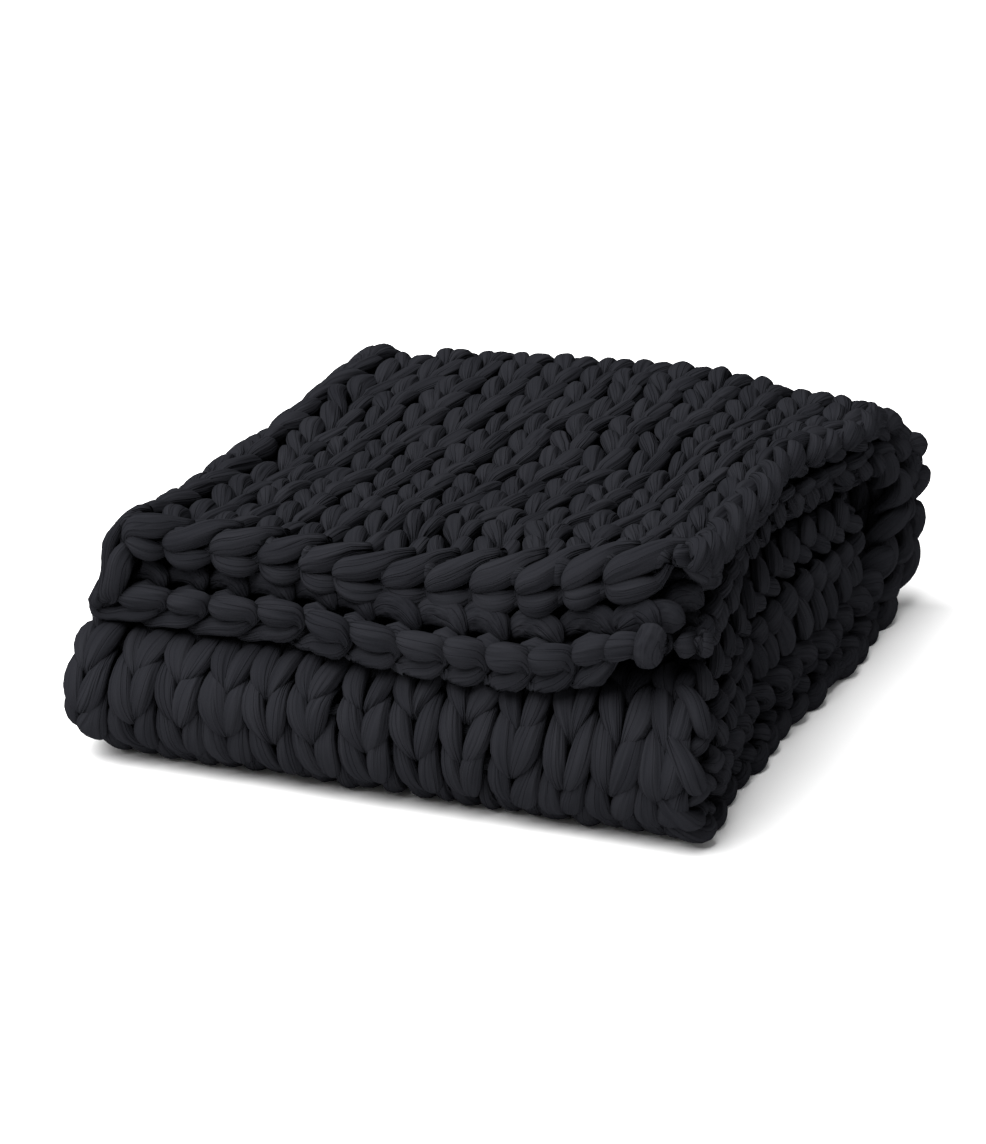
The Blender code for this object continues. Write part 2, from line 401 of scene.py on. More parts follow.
class LoopPoint(NamedTuple):
    """A place that a loop's yarn passes through."""

    along: float        # stitches: from the loop's middle, or from a link's apex
    rise: float         # metres along the panel, or out past its edge
    lift: float         # metres towards the knit side
    half_width: float   # metres


def read_curve(table: np.ndarray, spots: np.ndarray, repeats: bool) -> np.ndarray:
    """Reads a smooth curve through the rows of a table.

    Args:
        table: One point of the curve a row.
        spots: Places on the curve, one unit a row.
        repeats: Whether the table goes on for ever, one stitch further each time.

    Returns:
        One row of values for each place.
    """
    base = np.floor(spots).astype(int)
    t = (spots - base)[:, None]
    weights = (
        (-t + 2 * t ** 2 - t ** 3) / 2,
        (2 - 5 * t ** 2 + 3 * t ** 3) / 2,
        (t + 4 * t ** 2 - 3 * t ** 3) / 2,
        (t ** 3 - t ** 2) / 2,
    )
    total = np.zeros((len(spots), table.shape[1]))
    for step, weight in zip(range(-1, 3), weights):
        at = base + step
        if repeats:
            values = table[at % len(table)].copy()
            values[:, 0] += at // len(table)
        else:
            values = table[np.clip(at, 0, len(table) - 1)]
        total += values * weight
    return total


@dataclass(frozen=True)
class Stitch:
    """Shape of one knit loop of the stuffed yarn, from its foot to its head."""

    flatten: float = 0.82       # thickness over width
    points: tuple[LoopPoint, ...] = (
        LoopPoint(-0.500, -0.0310, -0.0085, 0.0090),
        LoopPoint(-0.300, -0.0345, -0.0070, 0.0070),
        LoopPoint(-0.145, -0.0340, -0.0015, 0.0042),
        LoopPoint(-0.050, -0.0305, 0.0048, 0.0030),
        LoopPoint(-0.085, -0.0245, 0.0078, 0.0050),
        LoopPoint(-0.140, -0.0175, 0.0088, 0.0077),
        LoopPoint(-0.197, -0.0105, 0.0090, 0.0096),
        LoopPoint(-0.240, -0.0030, 0.0087, 0.0103),
        LoopPoint(-0.270, 0.0055, 0.0079, 0.0098),
        LoopPoint(-0.298, 0.0135, 0.0066, 0.0081),
        LoopPoint(-0.326, 0.0210, 0.0046, 0.0061),
        LoopPoint(-0.352, 0.0275, 0.0010, 0.0046),
        LoopPoint(-0.320, 0.0325, -0.0046, 0.0050),
        LoopPoint(-0.180, 0.0355, -0.0082, 0.0074),
        LoopPoint(0.000, 0.0365, -0.0088, 0.0090),
    )

    def table(self) -> np.ndarray:
        """The whole loop, one point a row, with its foot at 0 stitches."""
        half = np.array(self.points)
        back = half[-2:0:-1] * (-1.0, 1.0, 1.0, 1.0)
        loop = np.concatenate([half, back])
        loop[:, 0] += 0.5
        return loop


@dataclass(frozen=True)
class ChainLink:
    """Shape of one link of the chain along a free edge."""

    depth: float = 1.15         # how far it stands out over its height
    first: float = 5.4          # point of the first link where the chain starts
    turning: Span = (-0.002, 0.002)     # drop over which a strand becomes a barrel
    inner: Span = (12.4, 13.6)  # stitches, from the outer layer to the inner
    fold_width: float = 0.8     # stitches round the half fold
    tip: Span = (0.0085, 0.0138)    # lift of a strand's tip
    loops: float = 0.8          # of the yarn's pattern in a link
    barrel_fold: float = 0.22       # share that the barrels widen at the half fold
    barrel_upper: float = 0.12      # and that they narrow on the outer layer
    barrel_lower: float = 0.07      # and on the inner
    strand_lower: float = 0.10      # share that the strands over them narrow there
    strand_fold: float = 0.25       # and at the half fold
    barrel_out: float = 0.0045      # how far the inner layer's barrels stand further out
    barrel_in: float = 0.0020       # how far all barrels are set back
    strand_in: float = 0.0010       # how far the inner layer's strands are
    tip_out: float = 0.003          # how far the inner layer's tips stand further out
    tip_lift: float = 0.0045        # and further up
    fold_flat: float = 0.45         # share of the barrels' drop lost at the half fold
    lower_lift: float = 0.0012      # how much higher the inner layer's chain is
    places: tuple[tuple[float, float], ...] = (     # links, stitches to the link's apex
        (0.0, 25.2), (0.52, 24.79), (1.52, 24.13), (2.52, 23.36), (3.52, 22.5),
        (4.52, 21.46), (12.5, 13.0), (24.0, 1.75), (25.4, 0.2))
    points: tuple[LoopPoint, ...] = (
        LoopPoint(1.40, -0.0200, 0.0118, 0.0036),
        LoopPoint(1.16, -0.0115, 0.0134, 0.0060),
        LoopPoint(0.90, -0.0030, 0.0108, 0.0086),
        LoopPoint(0.58, 0.0025, 0.0074, 0.0098),
        LoopPoint(0.26, 0.0040, 0.0048, 0.0090),
        LoopPoint(0.03, 0.0000, -0.0006, 0.0058),
        LoopPoint(0.14, 0.0028, -0.0070, 0.0078),
        LoopPoint(0.37, 0.0070, -0.0086, 0.0096),
        LoopPoint(0.66, 0.0066, -0.0088, 0.0095),
        LoopPoint(0.90, -0.0010, -0.0078, 0.0060),
        LoopPoint(1.06, -0.0120, -0.0040, 0.0046),
    )


class SelvedgeKnot(Enum):
    """Shapes of the yarn where a row turns round a selvedge, from inboard to inboard.

    The points are (rows along, metres past the cloth's edge, lift, half width).
    """

    RIM = (
        LoopPoint(1.10, -0.034, 0.0050, 0.0036),
        LoopPoint(0.90, -0.026, 0.0094, 0.0058),
        LoopPoint(0.68, -0.017, 0.0104, 0.0080),
        LoopPoint(0.46, -0.0095, 0.0088, 0.0092),
        LoopPoint(0.28, -0.0070, 0.0038, 0.0088),
        LoopPoint(0.18, -0.0085, -0.0020, 0.0072),
        LoopPoint(0.20, -0.0180, -0.0055, 0.0046),
    )
    SIDE = (
        LoopPoint(0.56, -0.026, -0.0020, 0.0044),
        LoopPoint(0.70, -0.0170, -0.0045, 0.0074),
        LoopPoint(0.84, -0.0115, -0.0075, 0.0080),
        LoopPoint(0.98, -0.0105, -0.0098, 0.0078),
        LoopPoint(1.10, -0.0160, -0.0120, 0.0064),
        LoopPoint(1.18, -0.0270, -0.0125, 0.0046),
    )


FIRST_KNOTS = ((-1.0, 0), (1.0, 1))     # side, and the first row with a knot there


class Swelling(NamedTuple):
    """Where the selvedges' knots stand out or draw in, in rows and metres."""

    row: float
    rows: float         # how far it reaches
    out: float          # how far the knots are pushed out
    lift: float
    plump: float        # share of the knot's own width


class KnotSwelling(Enum):
    """Places round the rear fold where the knots settle apart from the rest."""

    REAR = Swelling(18.3, 2.8, 0.0012, 0.0050, 0.34)
    UNDER = Swelling(23.0, 2.5, -0.0050, -0.0040, 0.0)
    SHOULDER = Swelling(13.6, 1.3, -0.0060, -0.0030, 0.18)


def spaced(offset: float) -> tuple[float, ...]:
    """Places of one purl bump a stitch along the mouth.

    Args:
        offset: Stitches from the half fold to the first bump's middle.

    Returns:
        Stitches from the outer selvedge to each bump's middle.
    """
    gauge = Gauge()
    return tuple(wale + offset for wale in range(gauge.wales // 2, gauge.wales - 1))


class BumpSize(NamedTuple):
    """Size and place of a row of purl bumps, in stitches and metres."""

    row: int
    wales: tuple[float, ...]    # stitches from the outer selvedge to each bump's middle
    along: float        # from the free edge
    slant: float        # how much further back its right end lies
    half_span: float    # stitches
    foot: float         # height of its ends over the cloth's middle, on the purl side
    crown: float        # height of its middle
    half_width: float


class PurlBump(Enum):
    """Rows of purl bumps that show in the mouth, from the chain inwards."""

    ARCH = BumpSize(1, spaced(0.75), 0.0335, -0.0055, 0.60, 0.0080, 0.0195, 0.0096)
    PILLOW = BumpSize(2, spaced(0.25), 0.0690, -0.0030, 0.58, 0.0090, 0.0160, 0.0100)
    INNER = BumpSize(3, spaced(0.70), 0.1040, -0.0030, 0.56, 0.0080, 0.0140, 0.0096)
    CORNER = BumpSize(4, (25.1,), 0.0380, 0.0080, 0.70, 0.0130, 0.0180, 0.0112)
    STEP = BumpSize(5, (25.45,), 0.0680, 0.0120, 0.50, 0.0170, 0.0235, 0.0100)
    RISE = BumpSize(6, (25.8,), 0.0980, 0.0160, 0.42, 0.0200, 0.0265, 0.0100)


@dataclass(frozen=True)
class BumpShape:
    """What all the purl bumps share."""

    end_width: float = 0.66     # over the width at the middle
    bow: float = 0.004          # how far back the middle stands
    squareness: float = 2.4     # power of the arch
    wander: float = 0.8         # share of its stitch's own shift
    shade: float = -1.2         # painted shade of the mouth's hollow: darker than the stitches
    pattern: float = 2.3        # loops that the yarn's pattern moves on each stitch
    half_loops: float = 0.45    # of the pattern in half a bump


@dataclass(frozen=True)
class Knob:
    """The yarn wrapped upright round the right end of the inner layer's chain."""

    wale: float = 25.34
    lean: float = -0.05         # stitches to the left at its upper end
    along: float = 0.0205       # from the free edge
    bow: float = 0.0085         # how far its middle stands out past its ends
    half_height: float = 0.0110
    lift: float = -0.0040
    half_width: float = 0.0118
    swell: float = 0.0012
    flatten: float = 0.72       # thickness over width
    half_loops: float = 0.5     # of the yarn's pattern in half its length


class EdgeLine(NamedTuple):
    """Where a length of yarn runs along a selvedge, in metres."""

    side: float         # -1 for the outer layer's selvedge, +1 for the inner's
    first: float        # rows from the free edge
    last: float
    inset: float        # inside the cloth's edge
    lift: float
    half_width: float


class EdgeCord(Enum):
    """Lengths of yarn along the selvedges."""

    TAUT = EdgeLine(1.0, 3.4, 14.0, 0.0060, 0.0120, 0.0036)
    CORE = EdgeLine(-1.0, 10.0, 24.0, 0.0100, 0.0030, 0.0105)


@dataclass(frozen=True)
class CordShape:
    """How the lengths of yarn along the selvedges waver."""

    sway: float = 0.0014            # once a row
    slow_sway: float = 0.0010
    slow_rows: float = 2.7
    swell: float = 0.0008
    swell_rows: float = 1.9
    flatten: float = 0.8            # thickness over width


class YarnTemplate:
    """A straight unit tube whose rings and sides are then laid along the yarn."""

    def __init__(self, steps: int, sides: int) -> None:
        """Rolls a grid into a tube that is closed at both ends.

        Args:
            steps: Rings along the tube.
            sides: Faces round it.
        """
        self.mesh = bpy.data.meshes.new("yarn_template")
        bm = bmesh.new()
        bmesh.ops.create_grid(bm, x_segments=steps, y_segments=sides, size=0.5)
        for vert in bm.verts:
            ring = round((vert.co.x + 0.5) * steps)
            angle = TAU * (vert.co.y + 0.5)
            radius = 0.0 if ring in (0, steps) else 1.0
            vert.co = (ring, radius * math.cos(angle), radius * math.sin(angle))
        bmesh.ops.remove_doubles(bm, verts=bm.verts[:], dist=1e-4)
        bmesh.ops.dissolve_degenerate(bm, edges=bm.edges[:], dist=1e-5)
        for face in bm.faces:
            face.smooth = True
        bm.to_mesh(self.mesh)
        bm.free()
        flat = np.empty(len(self.mesh.vertices) * 3)
        self.mesh.vertices.foreach_get("co", flat)
        points = flat.reshape(-1, 3)
        self.ring = np.rint(points[:, 0]).astype(int)
        self.angle = np.arctan2(points[:, 2], points[:, 1])

    def many(self, count: int, name: str) -> bpy.types.Mesh:
        """A mesh of several copies of the tube, one after another.

        Args:
            count: How many tubes.
            name: Name of the mesh.

        Returns:
            The mesh, its vertices in the template's order for each tube.
        """
        bm = bmesh.new()
        for _ in range(count):
            bm.from_mesh(self.mesh)
        mesh = bpy.data.meshes.new(name)
        bm.to_mesh(mesh)
        bm.free()
        return mesh

    def discard(self) -> None:
        """Removes the template's own mesh."""
        bpy.data.meshes.remove(self.mesh)


@dataclass
class Strand:
    """One length of yarn on the flat panel, ring by ring."""

    path: np.ndarray
    across: np.ndarray
    out: np.ndarray
    loops: np.ndarray           # how far along its yarn each ring lies, in loops
    tone: np.ndarray            # how pale or dark each ring is, round 0: random, and painted shade on the mouth's bumps
    facing: Triple = (0.0, 0.0, 1.0)

    def frame(self) -> tuple[np.ndarray, np.ndarray]:
        """Directions across and out of the yarn at each ring."""
        along = np.gradient(self.path, axis=0)
        along /= np.linalg.norm(along, axis=1, keepdims=True)
        side = np.cross(np.array(self.facing), along)
        side /= np.linalg.norm(side, axis=1, keepdims=True)
        return side, np.cross(along, side)


@dataclass
class Creases:
    """Long soft folds of the yarn's jersey skin."""

    rng: np.random.Generator
    depth: float = 0.05
    spacing: int = 7            # rings from one change to the next
    fewest: int = 4             # changes along a strand
    lobes: tuple[tuple[int, float], ...] = ((2, 0.8), (3, 1.0), (5, 0.8))   # folds, share
    twist: float = 0.9          # radians from one change to the next
    sizes: Span = (0.2, 1.0)

    def swell(self, rings: np.ndarray, angle: np.ndarray, steps: int) -> np.ndarray:
        """Factor on the yarn's radius at each vertex.

        Args:
            rings: Ring of each vertex.
            angle: Angle of each vertex round the yarn.
            steps: Rings in the strand.

        Returns:
            One factor a vertex, near 1.
        """
        knots = max(self.fewest, steps // self.spacing)
        grid = np.linspace(0, knots - 1, steps + 1)
        total = np.ones_like(angle)
        for lobes, share in self.lobes:
            turns = np.cumsum(self.rng.normal(0, self.twist, knots))
            phase = np.interp(grid, np.arange(knots), turns)
            size = np.interp(grid, np.arange(knots), self.rng.uniform(*self.sizes, knots))
            total += self.depth * share * size[rings] * np.cos(lobes * angle + phase[rings])
        return total


@dataclass
class Wander:
    """Slow drift of the hand-knit stitches away from an even grid."""

    rng: np.random.Generator
    size: float = 0.0016
    waves: int = 7
    lengths: Span = (0.11, 0.32)

    def __post_init__(self) -> None:
        """Draws the waves."""
        turns = self.rng.uniform(0, TAU, self.waves)
        lengths = self.rng.uniform(*self.lengths, self.waves)
        self.wave = np.stack([np.cos(turns), np.sin(turns)]) * TAU / lengths
        self.phase = self.rng.uniform(0, TAU, (2, self.waves))

    def shift(self, flat: np.ndarray) -> np.ndarray:
        """How far points of the flat panel have drifted.

        Args:
            flat: Points on the flat panel.

        Returns:
            The drift across and along, and none in height.
        """
        turn = flat[..., :2] @ self.wave
        across = np.sin(turn + self.phase[0]).sum(axis=-1)
        along = np.sin(turn + self.phase[1]).sum(axis=-1)
        return self.size * np.stack([across, along, np.zeros_like(across)], axis=-1)


@dataclass(frozen=True)
class RowShape:
    """Where the rows settle away from an even grid, and how far.

    Lengths are in metres.  A span called _wales is in stitches from the outer
    selvedge, one called _along in metres from the free edge, one called _rows in
    rows from it.
    """

    end: float = 0.10                   # stitches left free at each selvedge
    seam: float = 13.9                  # where the outer layer's strands end, past the fold
    overlap: float = 0.4                # stitches that the inner layer's run back beside them
    pattern: float = 3.7                # loops that the yarn's pattern moves on each row
    start: float = 0.021                # no row comes nearer the free edge than this
    corner_start: float = 0.022         # and how much less near at the mouth's right corner
    corner_wales: Span = (24.0, 25.2)
    mouth_draw: float = 0.010           # how much nearer it the mouth's rows are drawn
    mouth_wales: Span = (12.6, 13.6)
    mouth_along: Span = (0.12, 0.22)
    held_share: float = 0.85            # of its lift that yarn loses where it is held
    held_wales: Span = (22.0, 24.0)     # where the corner's drape holds the yarn flat
    held_along: Span = (0.07, 0.13)
    droop: float = 0.017                # how far the top's free edge hangs at its lowest
    droop_wales: Hump = (6.3, 4.0)
    droop_along: Span = (0.02, 0.11)
    rear_rise: float = 0.0060           # how much fuller the top's rear right corner is
    rear_wales: Span = (3.0, 8.0)
    rear_start_along: Span = (0.20, 0.36)
    rear_end_along: Span = (0.48, 0.60)
    fold_rise: float = 0.0040           # how much fuller the half fold is along the top
    fold_wales: Hump = (12.9, 0.7)
    fold_along: Span = (0.40, 0.60)
    top_rows: Span = (12.0, 20.0)       # where the top's own stitch gives way to the rest's
    top_lean: float = 0.095             # how far the top's stitches lean, over their rise
    right_thinning: float = 0.09        # how much thinner the top's right legs are
    left_thinning: float = 0.03
    right_drop: float = 0.0010
    foot_plump: float = 0.0017          # how much wider the top's stitches are at the foot
    foot_rise: Hump = (-0.0205, 0.007)
    foot_lift: Span = (0.002, 0.006)


@dataclass(frozen=True)
class KnotShape:
    """How the selvedges' knots lie."""

    reach: float = 0.0050               # how far they stand out beyond their table
    middle: float = 0.64                # of a knot, in rows
    stretch: float = 0.35               # how much longer they are round the rear fold
    stretch_rows: Hump = (16.0, 4.0)
    shift: Triple = (0.5, 1.0, 1.0)     # share of the stitch's own
    flat_rows: float = 3.0              # rows from the free edge over which they lie flatter
    flat_lift: float = 0.0030
    flat_share: float = 0.38
    held_along: Span = (0.07, 0.15)
    flatten: float = 0.92               # thickness over width
    pattern: float = 1.3                # loops that the yarn's pattern moves on each knot


@dataclass
class KnitPanel:
    """The knitted panel: its rows, chain edges and selvedge turns."""

    stack: FoldedStack
    stitch: Stitch
    finish: bpy.types.Material
    shape: RowShape = RowShape()
    knots: KnotShape = KnotShape()
    link: ChainLink = ChainLink()
    bump: BumpShape = BumpShape()
    knob: Knob = Knob()
    cord: CordShape = CordShape()
    seed: int = 7
    selvedge_inset: float = 0.009       # rows start this far inside the selvedge
    chain_inset: float = 0.48           # the chain's line, in rows inside a free edge
    closing_rings: float = 3.0          # rings over which a strand's end rounds off
    full_width: float = 0.0100          # half width of the yarn where nothing pinches it
    plumpness: float = 0.075            # how much a stitch's width varies
    straying: Triple = (0.0016, 0.0022, 0.0007)
    front_drift: float = 0.22           # stitches the front fold's columns crowd and spread by
    front_wave: float = 10.6            # stitches over which they do
    front_wales: Span = (11.0, 13.0)
    front_rows: Span = (22.0, 31.0)
    pieces: list[bpy.types.Object] = field(default_factory=list)

    def __post_init__(self) -> None:
        """Draws each stitch's small differences once, for the whole panel."""
        gauge = self.stack.gauge
        legs = (gauge.courses + 1, 2 * gauge.wales + 6)
        rng = np.random.default_rng(self.seed)
        self.plump = rng.normal(0, self.plumpness, legs)
        self.shift = rng.normal(0, 1, (*legs, 3)) * self.straying
        self.shade = rng.normal(0, 1, legs)
        self.creases = Creases(np.random.default_rng(self.seed + 1))
        self.wander = Wander(np.random.default_rng(self.seed + 2))

    def across(self, stitches: np.ndarray, course: float) -> np.ndarray:
        """Place across the flat panel.

        Args:
            stitches: Stitches from the outer selvedge.
            course: Row number, from the free edge.

        Returns:
            Metres from the outer selvedge, with the front fold's wider stitches.
        """
        gauge = self.stack.gauge
        drift = -self.front_drift * np.sin(TAU * stitches / self.front_wave)
        drift = drift * (1.0 - ramp(stitches, *self.front_wales))
        stitches = stitches + drift * ramp(course, *self.front_rows)
        room = 1.0 - 2.0 * self.selvedge_inset / (gauge.wales * gauge.wale)
        return self.selvedge_inset + stitches * gauge.wale * room

    def droop(self, stitches: np.ndarray, along: np.ndarray) -> np.ndarray:
        """How far the top's free edge hangs down between its ends.

        Args:
            stitches: Stitches from the outer selvedge.
            along: Distance from the free edge.

        Returns:
            The drop at each place.
        """
        shape = self.shape
        drop = shape.droop * bell(stitches, *shape.droop_wales)
        return drop * (1.0 - ramp(along, *shape.droop_along))

    def held(self, lift: np.ndarray, share: np.ndarray) -> np.ndarray:
        """Height of yarn that the corner's drape holds flat on the knit side.

        Args:
            lift: Height over the cloth's middle on the knit side.
            share: How firmly it is held, 0 to 1.

        Returns:
            The height after.
        """
        return np.where(lift > 0.0, lift * (1.0 - self.shape.held_share * share), lift)

    def fullness(self, stitches: np.ndarray, along: np.ndarray) -> np.ndarray:
        """How much fuller the top is at its rear right corner and along the half fold.

        Args:
            stitches: Stitches from the outer selvedge.
            along: Distance from the free edge.

        Returns:
            The rise at each place.
        """
        shape = self.shape
        rear = ramp(along, *shape.rear_start_along) * (1.0 - ramp(along, *shape.rear_end_along))
        rear = shape.rear_rise * rear * (1.0 - ramp(stitches, *shape.rear_wales))
        fold = shape.fold_rise * bell(stitches, *shape.fold_wales)
        return rear + fold * (1.0 - ramp(along, *shape.fold_along))

    def row(self, course: int, first: float, last: float, steps: int) -> Strand:
        """The yarn of one row over a range of wales.

        Args:
            course: Row number, from the free edge.
            first: Wale where the strand starts.
            last: Wale where it ends.
            steps: Rings along the strand.

        Returns:
            The strand on the flat panel.
        """
        gauge, shape = self.stack.gauge, self.shape
        table = self.stitch.table()
        loops = np.linspace(first, last, steps + 1)
        stitches, rise, lift, width = read_curve(table, loops * len(table), True).T
        leg = np.clip(np.floor(2 * loops).astype(int) + 2, 0, self.plump.shape[1] - 1)
        front = np.sin(TAU * loops) ** 2
        width = width * (1.0 + self.plump[course, leg] * front)
        along = (course + 0.5) * gauge.course + rise
        mouth = ramp(stitches, *shape.mouth_wales) * (1.0 - ramp(along, *shape.mouth_along))
        along = along - shape.mouth_draw * mouth
        corner = shape.corner_start * ramp(stitches, *shape.corner_wales)
        along = np.maximum(along, shape.start + corner)
        held = ramp(stitches, *shape.held_wales) * (1.0 - ramp(along, *shape.held_along))
        lift = self.held(lift, held) - self.droop(stitches, along) + self.fullness(stitches, along)
        top = 1.0 - ramp(course, *shape.top_rows)
        right = top * np.clip(np.sin(TAU * loops), 0.0, 1.0)
        left = top * np.clip(-np.sin(TAU * loops), 0.0, 1.0)
        foot = top * bell(rise, *shape.foot_rise) * ramp(lift, *shape.foot_lift)
        width = width * (1.0 - shape.right_thinning * right - shape.left_thinning * left)
        width = width + shape.foot_plump * foot
        lift = lift - shape.right_drop * right
        across = self.across(stitches, course) + shape.top_lean * top * rise
        path = np.stack([across, along, lift], axis=1)
        path += self.shift[course, leg] * front[:, None]
        tone = self.shade[course, leg] * front
        loops = loops + shape.pattern * course
        return Strand(path, width, width * self.stitch.flatten, loops, tone)

    def knot(self, shape: SelvedgeKnot, course: int, side: float, steps: int) -> Strand:
        """The yarn's turn round a selvedge at the end of a row.

        Args:
            shape: Which part of the turn.
            course: Row number, from the free edge.
            side: Which selvedge, -1 for the outer layer's or +1 for the inner's.
            steps: Rings along the strand.

        Returns:
            The strand on the flat panel.
        """
        gauge, knots = self.stack.gauge, self.knots
        table = np.array(shape.value)
        spots = np.linspace(0.0, len(table) - 1.0, steps + 1)
        rise, out, lift, width = read_curve(table, spots, False).T
        leg = {SelvedgeKnot.RIM: 0, SelvedgeKnot.SIDE: 1}[shape] - (2 if side > 0 else 0)
        longer = 1.0 + knots.stretch * bell(course, *knots.stretch_rows)
        rise = knots.middle + (rise - knots.middle) * longer
        x = (0.0 if side < 0 else gauge.wales * gauge.wale) + side * (out + knots.reach)
        path = np.stack([x, (course + rise) * gauge.course, lift], axis=1)
        path += self.shift[course, leg] * knots.shift
        fullness = 1.0 + self.plump[course, leg]
        for swelling in KnotSwelling:
            place = swelling.value
            share = bell(course, place.row, place.rows)
            path += share * np.array([place.out * side, 0.0, place.lift])
            fullness += place.plump * share
        first = max(0.0, 1.0 - course / knots.flat_rows)
        path[:, 2] += first * (knots.flat_lift - knots.flat_share * path[:, 2])
        if side > 0:
            path[:, 2] = self.held(path[:, 2], 1.0 - ramp(path[:, 1], *knots.held_along))
        width = width * fullness
        tone = np.full_like(width, self.shade[course, leg])
        loops = spots / len(table) / 2 + knots.pattern * course
        return Strand(path, width, width * knots.flatten, loops, tone, (side, 0.0, 0.0))

    def chain(self, edge: float, outwards: float, steps: int) -> Strand:
        """The chain of loops along a free edge.

        Args:
            edge: Course at the chain's own line.
            outwards: Direction away from the cloth, -1 or +1.
            steps: Rings along the strand.

        Returns:
            The strand on the flat panel.
        """
        gauge, link = self.stack.gauge, self.link
        table = np.array(link.points)
        count = gauge.wales - 1
        spots = np.linspace(link.first, count * len(table) - 1.0, steps + 1)
        along, out, lift, width = read_curve(table, spots, True).T
        stitches = np.interp(along, *np.array(link.places).T)
        number = np.clip((spots / len(table)).astype(int), 0, count)
        swell = np.sin(math.pi * (spots / len(table) - number)) ** 2
        width = width * (1.0 + self.plump[0, number] * swell)
        barrel = ramp(-lift, *link.turning)
        lower = ramp(stitches, *link.inner)
        fold = bell(stitches, gauge.wales / 2, link.fold_width)
        narrowing = link.barrel_upper * (1.0 - lower) + link.barrel_lower * lower
        pull = link.strand_lower * lower + link.strand_fold * fold
        width = width * (
            1.0 + barrel * (link.barrel_fold * fold - narrowing) - (1.0 - barrel) * pull)
        out = out + barrel * (link.barrel_out * lower - link.barrel_in)
        out = out - link.strand_in * (1.0 - barrel) * lower
        tip = lower * ramp(lift, *link.tip)
        out = out + link.tip_out * tip
        lift = lift * (1.0 - link.fold_flat * fold * barrel)
        y = edge * gauge.course + outwards * out
        lift = lift + link.lower_lift * lower + link.tip_lift * tip - self.droop(stitches, y)
        path = np.stack([self.across(stitches, edge), y, lift], axis=1)
        path += self.shift[0, number] * swell[:, None]
        tone = self.shade[0, number] * swell
        loops = spots / len(table) * link.loops
        return Strand(path, width, width * link.depth, loops, tone, (0.0, outwards, 0.0))

    def purl_bump(self, bump: PurlBump, wale: float, steps: int) -> Strand:
        """One purl bump on the inner layer, in the mouth.

        Args:
            bump: Which row of bumps it is in.
            wale: Stitches from the outer selvedge to its middle.
            steps: Rings along the strand.

        Returns:
            The strand on the flat panel.
        """
        size, shape = bump.value, self.bump
        t = np.linspace(-1.0, 1.0, steps + 1)
        swell = 1.0 - t ** 2
        row, leg = size.row, int(wale)
        width = size.half_width * (1.0 + self.plump[row, leg])
        width = width * (shape.end_width + (1.0 - shape.end_width) * swell)
        arch = (size.crown - size.foot) * (1.0 - np.abs(t) ** shape.squareness)
        path = np.stack([
            self.across(wale + size.half_span * t, 0.0),
            size.along + shape.bow * swell + size.slant * t,
            -size.foot - arch], axis=1)
        path += shape.wander * self.shift[row, leg]
        # The bumps' tone carries painted shade for the shade over the mouth.
        tone = np.full_like(t, self.shade[row, leg] + shape.shade)
        loops = shape.half_loops * t + shape.pattern * wale + row
        return Strand(path, width, width, loops, tone)

    def knob_strand(self, steps: int) -> Strand:
        """The knob at the right end of the inner layer's chain.

        Args:
            steps: Rings along the strand.

        Returns:
            The strand on the flat panel.
        """
        knob = self.knob
        t = np.linspace(-1.0, 1.0, steps + 1)
        swell = 1.0 - t ** 2
        path = np.stack([
            self.across(knob.wale + knob.lean * t, 0.0), knob.along - knob.bow * swell,
            knob.half_height * t + knob.lift], axis=1)
        width = knob.half_width + knob.swell * swell
        return Strand(path, width, width * knob.flatten, knob.half_loops * t,
                      np.zeros_like(t), (0.0, -1.0, 0.0))

    def edge_strand(self, cord: EdgeCord, steps: int) -> Strand:
        """A length of yarn that runs straight along a selvedge.

        Args:
            cord: Where it runs.
            steps: Rings along the strand.

        Returns:
            The strand on the flat panel.
        """
        gauge, line, shape = self.stack.gauge, cord.value, self.cord
        course = np.linspace(line.first, line.last, steps + 1)
        sway = shape.sway * np.sin(TAU * course)
        sway = sway + shape.slow_sway * np.sin(TAU * course / shape.slow_rows)
        edge = 0.0 if line.side < 0 else gauge.wales * gauge.wale
        x = edge - line.side * line.inset + sway
        path = np.stack([x, course * gauge.course, line.lift + sway], axis=1)
        width = line.half_width + shape.swell * np.sin(TAU * course / shape.swell_rows)
        return Strand(path, width, width * shape.flatten, course,
                      np.zeros_like(width), (line.side, 0.0, 0.0))

    def lay(self, name: str, strands: list[Strand], sides: int) -> bpy.types.Object:
        """Builds one piece from strands that have the same number of rings.

        Args:
            name: Name of the piece.
            strands: Its lengths of yarn.
            sides: Faces round the yarn.

        Returns:
            The finished piece.
        """
        steps = len(strands[0].path) - 1
        template = YarnTemplate(steps, sides)
        mesh = template.many(len(strands), name)
        rings, angle = template.ring, template.angle
        closing = np.minimum(1.0, np.sqrt(np.minimum(rings, steps - rings) / self.closing_rings))
        laid, yarn, tone, pinch = [], [], [], []
        for strand in strands:
            side, out = strand.frame()
            swell = closing * self.creases.swell(rings, angle, steps)
            wide = (strand.across[rings] * swell * np.cos(angle))[:, None]
            deep = (strand.out[rings] * swell * np.sin(angle))[:, None]
            laid.append(strand.path[rings] + side[rings] * wide + out[rings] * deep)
            yarn.append(np.stack([strand.loops[rings], np.cos(angle), np.sin(angle)], axis=1))
            tone.append(strand.tone[rings])
            pinch.append(1.0 - strand.across[rings] / self.full_width)
        flat = np.concatenate(laid)
        points = self.stack.place(flat + self.wander.shift(flat))
        mesh.vertices.foreach_set("co", points.ravel())
        self.mark(mesh, "yarn", "FLOAT_VECTOR", "vector", np.concatenate(yarn))
        self.mark(mesh, "tone", "FLOAT", "value", np.concatenate(tone))
        self.mark(mesh, "pinch", "FLOAT", "value", np.concatenate(pinch))
        mesh.update()
        template.discard()
        return self.add(name, mesh)

